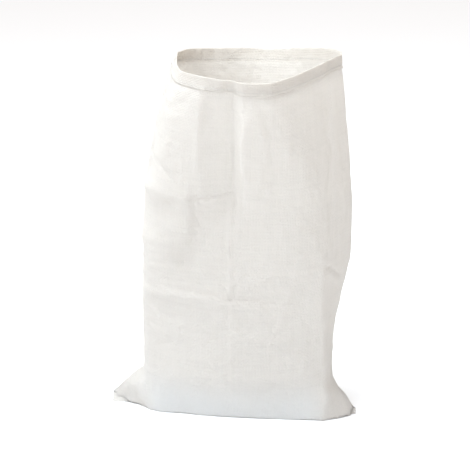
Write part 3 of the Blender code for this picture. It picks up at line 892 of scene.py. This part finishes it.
def tube_mesh(name, paths, closed):
    """One mesh of many thin tubes; each path is its points, outward directions, radii and lengths."""
    verts, faces, maps = [], [], []
    ring = range(THREAD_SIDES)
    turns = [2 * math.pi * k / THREAD_SIDES for k in ring]
    for points, outs, radii, lengths in paths:
        base, count = len(verts), len(points)
        if closed:
            runs = np.roll(points, -1, axis=0) - np.roll(points, 1, axis=0)
        else:
            runs = np.gradient(points, axis=0)
        runs = unit(runs)
        sides = unit(np.cross(runs, outs))
        ups = np.cross(sides, runs)
        for point, side, up, radius in zip(points, sides, ups, radii):
            verts += [point + radius * (side * math.cos(a) + up * math.sin(a)) for a in turns]
        for j in range(count if closed else count - 1):
            here, there = base + j * THREAD_SIDES, base + (j + 1) % count * THREAD_SIDES
            low, high = lengths[j], lengths[min(j + 1, count - 1)]
            for k in ring:
                m = (k + 1) % THREAD_SIDES
                faces.append((here + k, there + k, there + m, here + m))
                maps += [(low, k / THREAD_SIDES), (high, k / THREAD_SIDES),
                         (high, (k + 1) / THREAD_SIDES), (low, (k + 1) / THREAD_SIDES)]
        if not closed:
            last = base + (count - 1) * THREAD_SIDES
            faces += [tuple(base + k for k in ring), tuple(last + k for k in ring[::-1])]
            maps += [(lengths[0], 0.0)] * THREAD_SIDES + [(lengths[-1], 0.0)] * THREAD_SIDES
    return turned_out(mapped_piece(name, verts, faces, "thread", maps))


def dashes(path, outs, stitch, radius, closed=True):
    """Short stitches along a path, each dipping into the cloth at its ends."""
    if closed:
        path, outs = np.concatenate([path, path[:1]]), np.concatenate([outs, outs[:1]])
    lengths = lengths_of(path)
    count = int(lengths[-1] // stitch)
    pitch = lengths[-1] / count
    dice = np.random.RandomState(31)
    shapes = []
    parts, lifts, widths = (np.array(row) for row in (DASH_PLACES, DASH_LIFTS, DASH_WIDTHS))
    for n in range(count):
        slack = dice.uniform(-DASH_SLACK, DASH_SLACK, 3)
        start = (n + DASH_START + slack[0] * 0.6) * pitch
        end = (n + DASH_END + slack[1] * 0.6) * pitch
        at = start + (end - start) * parts
        ways = unit(read(outs, lengths, at))
        points = read(path, lengths, at) + ways * (radius * (lifts + slack[2] * 2))[:, None]
        shapes.append((points, ways, radius * widths, at))
    return shapes


def loops(path, outs, stitch, radius):
    """Chain stitches along a path: each a long loop that starts inside the one before."""
    lengths = lengths_of(path)
    count = int(lengths[-1] // stitch)
    pitch = lengths[-1] / count
    turn = np.linspace(0, 2 * math.pi, LOOP_POINTS, endpoint=False)
    shapes = []
    for n in range(count):
        at = (n + 0.5 - LOOP_REACH * np.cos(turn)) * pitch
        ways = unit(read(outs, lengths, at))
        run = read(path, lengths, at + 0.001) - read(path, lengths, at - 0.001)
        side = np.cross(run, ways)
        side /= np.maximum(np.linalg.norm(side, axis=1, keepdims=True), 1e-9)
        wide = LOOP_HALF * np.sin(turn) * (1 - 0.45 * np.cos(turn))
        lift = radius * (0.15 + 0.75 * (1 - np.cos(turn)) / 2)
        points = read(path, lengths, at) + side * wide[:, None] + ways * lift[:, None]
        shapes.append((points, ways, np.full(len(turn), radius), at))
    return shapes


class SACK_OT_hem_stitches(bpy.types.Operator):
    """Sew the stitches of the hem, outside and inside the mouth"""

    bl_idname = "sack.hem_stitches"
    bl_label = "Hem stitching"

    def execute(self, context):
        sizes = context.scene.sack_sizes
        cloth = STORE["cloth"]
        radius = sizes.thread / 2
        depth = sizes.hem_depth * HEM_STITCH_PLACE
        place, way = cloth.at_depth(depth)
        outside = place + way * (cloth.looseness(depth)[:, None] + sizes.cloth)
        inside = place - way * sizes.cloth
        shapes = dashes(outside, way, sizes.hem_stitch, radius)
        shapes += dashes(inside, -way, sizes.hem_stitch, radius)
        piece = tube_mesh("hem_stitching", shapes, False)
        piece.data.materials.append(thread_material(context.scene.sack_colours))
        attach(piece, "root")
        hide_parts("mouth_hem_thread")
        return {"FINISHED"}


def band_frame(x, width):
    """Start of the band at the seam, its direction across, and its outer face direction."""
    turn = band_turn(x)
    middle = BAND_HALF * math.cos(turn)
    start = np.array([x, 0.0, width * math.sin(turn) + middle])
    across = np.array([0.0, math.cos(turn), -math.sin(turn)])
    face = np.array([0.0, -math.sin(turn), -math.cos(turn)])
    return start, across, face


def band_points(sizes, stations, stitch):
    """Points of the folded band, one cut across it after the other."""
    width = sizes.band_width
    spots = np.stack([stations + 0.5, np.full(len(stations), BAND_PATTERN)], axis=-1)
    ripple = sum(0.5 * crumple(spots, cell, seed) for cell, seed in BAND_WAVES)
    points = []
    for x, wave, wander in zip(stations, ripple, crumple(spots, *BAND_EDGE)):
        start, across, face = band_frame(x, width)
        hole = 0.5 + 0.5 * math.cos(2 * math.pi * (x + sizes.flat_width / 2) / stitch)
        turned = math.sin(band_turn(x))
        for a, b in np.asarray(BAND_SECTION) / 1000:
            near = math.exp(-((a - width / 2) / PRESS_REACH) ** 2)
            shift = -BAND_PRESS * near * hole * math.copysign(1, b)
            sway = BAND_WAVE * wave * turned * (1 - near) * float(ramp(a, *WAVE_FROM))
            reach = a + EDGE_WANDER * wander * turned * float(ramp(a, *EDGE_FROM)) * (a < EDGE_END)
            points.append(start + across * min(reach, width) + face * (b + shift + sway))
    return bend_ears(points, sizes.flat_width)


def band_faces(stations):
    """Faces of the folded band, and their places on the flat cloth."""
    section = np.asarray(BAND_SECTION) / 1000
    count = len(section)
    girth = lengths_of(np.concatenate([section, section[:1]]))
    faces, maps, ring = [], [], range(count)
    for j, (low, high) in enumerate(zip(stations[:-1], stations[1:])):
        here, there = j * count, (j + 1) * count
        for k in ring:
            m = (k + 1) % count
            faces.append((here + k, here + m, there + m, there + k))
            maps += [(low, -girth[k]), (low, -girth[k + 1]), (high, -girth[k + 1]), (high, -girth[k])]
    for base, x, order in ((0, stations[0], ring), (there, stations[-1], ring[::-1])):
        faces.append(tuple(base + k for k in order))
        maps += [(x, -girth[k]) for k in order]
    return faces, maps


class SACK_OT_band(bpy.types.Operator):
    """Fold the bottom of the sack over along its seam and sew it"""

    bl_idname = "sack.band"
    bl_label = "Bottom band and its stitching"

    def execute(self, context):
        sizes = context.scene.sack_sizes
        width = sizes.band_width
        stations = np.linspace(-sizes.flat_width / 2, sizes.flat_width / 2, BAND_STATIONS)
        stitch = sizes.flat_width / int(sizes.flat_width // sizes.band_stitch)
        faces, maps = band_faces(stations)
        points = band_points(sizes, stations, stitch)
        band = turned_out(mapped_piece("bottom_band", points, faces, "cloth", maps))
        band.data.materials.append(bpy.data.materials["woven_tape"])
        frames = [band_frame(x, width) for x in stations]
        radius = sizes.thread / 2
        outer = bend_ears([s + c * width / 2 + f * STITCH_RISE for s, c, f in frames], sizes.flat_width)
        shapes = dashes(outer, np.asarray([f for _, _, f in frames]), stitch, radius, False)
        thread = tube_mesh("bottom_stitching", shapes, False)
        chains = []
        for sign in (-1, 1):
            part = [f for f, x in zip(frames, stations) if sign * x > CHAIN_FROM]
            inner = bend_ears([s + c * width / 2 - f * CHAIN_RISE for s, c, f in part], sizes.flat_width)
            chains += loops(inner, np.asarray([-f for _, _, f in part]), stitch, radius * CHAIN_THREAD)
        chain = tube_mesh("bottom_chain", chains, True)
        for piece in (thread, chain):
            piece.data.materials.append(bpy.data.materials["sewing_thread"])
            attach(piece, "root")
        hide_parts("bottom_seam_thread")
        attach(band, "root")
        return {"FINISHED"}


class SACK_OT_cloth(bpy.types.Operator):
    """Lay out the woven cloth of the standing sack, let it settle and turn its hem over"""

    bl_idname = "sack.cloth"
    bl_label = "Woven cloth and hem"

    def execute(self, context):
        sizes = context.scene.sack_sizes
        cloth = Cloth(sizes)
        STORE["cloth"] = cloth
        piece = cloth.piece()
        piece.data.materials.append(cloth_material(context.scene.sack_colours))
        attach(piece, "root")
        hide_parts("woven_sack")
        return {"FINISHED"}


class Value:
    """A shader socket that can be used in sums."""

    def __init__(self, shades, socket):
        self.shades = shades
        self.socket = socket

    def sum(self, operation, *others):
        """This value and others through one Math node."""
        return self.shades.add("ShaderNodeMath", {"operation": operation}, dict(enumerate((self,) + others)))

    def turned(self, operation, other):
        """The same, with the other value first."""
        return self.shades.add("ShaderNodeMath", {"operation": operation}, {0: other, 1: self})

    # Each sum makes one Math node
    __add__ = __radd__ = partialmethod(sum, "ADD")
    __sub__ = partialmethod(sum, "SUBTRACT")
    __rsub__ = partialmethod(turned, "SUBTRACT")
    __mul__ = __rmul__ = partialmethod(sum, "MULTIPLY")
    __truediv__ = partialmethod(sum, "DIVIDE")
    __pow__ = partialmethod(sum, "POWER")
    __mod__ = partialmethod(sum, "FLOORED_MODULO")
    floor = partialmethod(sum, "FLOOR")
    size = partialmethod(sum, "ABSOLUTE")

    def step(self, low, high, start=0.0, end=1.0):
        """Soft step from start to end as this value goes from low to high."""
        return self.shades.add("ShaderNodeMapRange", {"interpolation_type": "SMOOTHSTEP"},
                               {"Value": self, "From Min": low, "From Max": high, "To Min": start,
                                "To Max": end})


class Shades:
    """The nodes of one material."""

    def __init__(self, name):
        self.material = bpy.data.materials.new(name)
        self.material.use_nodes = True
        self.tree = self.material.node_tree
        self.shader = self.tree.nodes["Principled BSDF"]
        self.out = self.tree.nodes["Material Output"]

    def add(self, kind, settings=None, inputs=None, output=0):
        """Add a node, set it, feed its sockets and give back one output."""
        node = self.tree.nodes.new(kind)
        for name, value in (settings or {}).items():
            setattr(node, name, value)
        for name, value in (inputs or {}).items():
            self.feed(node.inputs[name], value)
        return Value(self, node.outputs[output])

    def feed(self, socket, value):
        """Link a value to a socket, or set the socket to a number or colour."""
        if isinstance(value, Value):
            self.tree.links.new(value.socket, socket)
        else:
            socket.default_value = value

    def set(self, **inputs):
        """Feed the main shader's sockets; a double underscore stands for a space."""
        for name, value in inputs.items():
            self.feed(self.shader.inputs[name.replace("__", " ")], value)

    def flat(self, name):
        """Place on the flat material: both coordinates together, then each alone."""
        uv = self.add("ShaderNodeUVMap", {"uv_map": name})
        return uv, *(self.add("ShaderNodeSeparateXYZ", None, {0: uv}, k) for k in (0, 1))

    def bump(self, strength, distance, **inputs):
        """Direction of a surface with some relief."""
        return self.add("ShaderNodeBump", None, {"Strength": strength, "Distance": distance, **inputs})

    def grain(self, x, y, scale, detail=2.0, roughness=0.5):
        """Noise over two stretched coordinates, from 0 to 1."""
        place = self.add("ShaderNodeCombineXYZ", None, {"X": x, "Y": y})
        return self.add("ShaderNodeTexNoise", {"noise_dimensions": "2D"},
                        {"Vector": place, "Scale": scale, "Detail": detail, "Roughness": roughness})

    def chance(self, number, seed):
        """One random number from 0 to 1 for each whole number."""
        return self.add("ShaderNodeTexWhiteNoise", {"noise_dimensions": "1D"}, {"W": number + seed})

    def blend(self, factor, low, high):
        """Colour between two colours."""
        return self.add("ShaderNodeMix", {"data_type": "RGBA"}, {0: factor, 6: low, 7: high}, 2)


def cloth_material(colours):
    """White tapes in plain weave: over and under, split a little along their length, part see-through."""
    shades = Shades("woven_tape")
    uv, u, v = shades.flat("cloth")
    sway = shades.grain(u, v, 14.0, 1.0) - 0.5
    across = (u + sway * (TAPE * 0.5)) / TAPE
    up = (v + sway * (TAPE * 0.4)) / TAPE
    warp, weft = across.floor(), up.floor()
    x, y = (across % 1.0) - 0.5, (up % 1.0) - 0.5
    over = (warp + weft) % 2.0
    under = 1.0 - over
    warp_edge = x.size().step(0.36, 0.5, 1.0, 0.0)
    weft_edge = y.size().step(0.36, 0.5, 1.0, 0.0)
    warp_rise = 1.0 - (y.size() * 2.0) ** 2.4
    weft_rise = 1.0 - (x.size() * 2.0) ** 2.4
    warp_streak = shades.grain(u * 2600.0, v * 70.0, 1.0)
    weft_streak = shades.grain(v * 2600.0 + 91.0, u * 70.0, 1.0)
    streak = over * warp_streak + under * weft_streak
    slub = shades.grain(u * 20.0, v * 210.0, 1.0)
    relief = (over * warp_edge * warp_rise + under * weft_edge * weft_rise) + streak * 0.16 + slub * 0.45
    tone = over * shades.chance(warp, 0.5) + under * shades.chance(weft, 600.5)
    # Painted shade and highlight: each tape is painted darker towards its edges, where it dives under the
    # crossing tapes, and lighter in its raised middle
    edge = over * warp_edge + under * weft_edge
    cloud = shades.grain(u, v, 5.0, 3.0)
    # Painted highlight: the ridges of raised fine folds are painted lighter
    painted_ridge_highlight = shades.add("ShaderNodeAttribute", {"attribute_name": "painted_ridge_highlight"}, None, 2)
    # Painted highlight: the hem band is painted lighter than the wall, and lets a little more light through
    hem = v.step(*HEM_LINE)
    light = tone * 0.26 + streak * 0.22 + cloud * 0.22 + slub * 0.34 + edge * 0.30
    light = light + painted_ridge_highlight * 0.5 + hem * 0.34
    pale = [min(1.0, c * PALE) for c in colours.cloth]
    deep = [c * DEEP for c in colours.cloth]
    colour = shades.blend(light.step(0.2, 1.0), (*deep, 1.0), (*pale, 1.0))
    # Painted floor bounce light: the foot of the wall is painted cooler and paler, fading out going up and
    # towards the side creases
    side = ((u * 2.0) % 1.0 - 0.5).size()
    painted_bounce = v.step(*PAINTED_BOUNCE_FADE, 0.0, 0.9) * v.step(0.0, 0.07, 0.15, 1.0) * side.step(*PAINTED_BOUNCE_SIDES)
    colour = shades.blend(painted_bounce, colour, (*PAINTED_BOUNCE_TONE, 1.0))
    crinkle = shades.add("ShaderNodeTexVoronoi", {"feature": "F1", "voronoi_dimensions": "2D"},
                         {"Vector": uv, "Scale": 95.0, "Detail": 1.0, "Roughness": 0.6})
    rumple = shades.bump(0.5, RUMPLE_BUMP, Height=crinkle)
    bump = shades.bump(1.0, WEAVE_BUMP, Height=relief, Normal=rumple)
    shades.set(Base__Color=colour, Normal=bump, Roughness=0.36 + tone * 0.12 + streak * 0.16,
               Sheen__Weight=0.12, Sheen__Roughness=0.4)
    shades.shader.inputs["Specular IOR Level"].default_value = 0.42
    through = shades.add("ShaderNodeBsdfTranslucent", None,
                         {"Color": (*THROUGH, 1.0), "Normal": bump})
    mix = shades.add("ShaderNodeMixShader", None,
                     {0: THROUGH_SHARE - edge * 0.06 + tone * 0.04 + hem * 0.09,
                      1: Value(shades, shades.shader.outputs[0]),
                      2: through})
    shades.feed(shades.out.inputs["Surface"], mix)
    return shades.material


def thread_material(colours):
    """Twisted white sewing thread."""
    shades = Shades("sewing_thread")
    _, u, v = shades.flat("thread")
    ply = ((u * 900.0 + v * 3.0) % 1.0 - 0.5).size() * 2.0
    fibre = shades.grain(u * 5200.0 + v * 9.0, v * 22.0, 1.0)
    # Painted shade: the thread is painted darker in the grooves between its plies
    colour = shades.blend(ply * 0.7 + fibre * 0.3, (*colours.thread, 1.0),
                          (*[c * 0.78 for c in colours.thread], 1.0))
    bump = shades.bump(0.8, PLY_BUMP, Height=(1.0 - ply) + fibre * 0.4)
    shades.set(Base__Color=colour, Normal=bump, Roughness=0.62 + fibre * 0.2, Sheen__Weight=0.3)
    return shades.material


def aimed(name, data, place, aim):
    """Object of a lamp or a camera, turned to look at a point."""
    made = bpy.data.objects.new(name, data)
    bpy.context.scene.collection.objects.link(made)
    made.location = place
    made.rotation_euler = (Vector(aim) - made.location).to_track_quat("-Z", "Y").to_euler()
    return made


class SACK_OT_stage(bpy.types.Operator):
    """Set up the pale floor, the soft lights and the camera"""

    bl_idname = "sack.stage"
    bl_label = "Studio"

    def execute(self, context):
        scene = context.scene
        bpy.ops.object.select_all(action="DESELECT")
        bpy.ops.mesh.primitive_plane_add(size=40, location=(0, 0, 0))
        floor = bpy.context.object
        floor.name = "floor"
        shades = Shades("pale_floor")
        shades.set(Base__Color=(*scene.sack_colours.floor, 1.0), Roughness=0.9)
        floor.data.materials.append(shades.material)
        world = bpy.data.worlds.new("studio")
        world.use_nodes = True
        sky = world.node_tree.nodes["Background"].inputs
        sky["Color"].default_value = (*SKY, 1)
        sky["Strength"].default_value = SKY_STRENGTH
        scene.world = world
        for name, place, aim, size, power, colour in SOFTBOXES:
            lamp = bpy.data.lights.new(name, "AREA")
            lamp.shape = "RECTANGLE"
            lamp.size, lamp.size_y = size
            lamp.energy = power
            lamp.color = colour
            aimed(name, lamp, place, aim)
        camera = bpy.data.cameras.new("camera")
        camera.sensor_width = SENSOR
        camera.lens = LENS / PICTURE * SENSOR
        camera.shift_x, camera.shift_y = (part / PICTURE for part in SHIFT)
        turn = math.radians(CAMERA_TURN)
        place = (CAMERA_AWAY * math.sin(turn), AIM[1] - CAMERA_AWAY * math.cos(turn), CAMERA_HEIGHT)
        scene.camera = aimed("camera", camera, place, AIM)
        scene.view_settings.view_transform = "Standard"
        return {"FINISHED"}


class SACK_PT_panel(bpy.types.Panel):
    """Sizes and steps of the sack."""

    bl_label = "Woven sack"
    bl_idname = "SACK_PT_panel"
    bl_space_type = "VIEW_3D"
    bl_region_type = "UI"
    bl_category = "Sack"

    def draw(self, context):
        for group in (context.scene.sack_sizes, context.scene.sack_colours):
            for name in group.__annotations__:
                self.layout.prop(group, name)
        for step in STEPS:
            self.layout.operator(step.bl_idname)


STEPS = (SACK_OT_cloth, SACK_OT_hem_stitches, SACK_OT_band, SACK_OT_stage)
CLASSES = (SackSizes, SackColours) + STEPS + (SACK_PT_panel,)


def register():
    """Add the classes and their settings."""
    for each in CLASSES:
        bpy.utils.register_class(each)
    bpy.types.Scene.sack_sizes = PointerProperty(type=SackSizes)
    bpy.types.Scene.sack_colours = PointerProperty(type=SackColours)


def unregister():
    """Take the classes and their settings away."""
    del bpy.types.Scene.sack_sizes
    del bpy.types.Scene.sack_colours
    for each in reversed(CLASSES):
        bpy.utils.unregister_class(each)


def main():
    """Build every piece in order."""
    register()
    for step in STEPS:
        group, name = step.bl_idname.split(".")
        getattr(getattr(bpy.ops, group), name)()


if __name__ == "__main__":
    main()
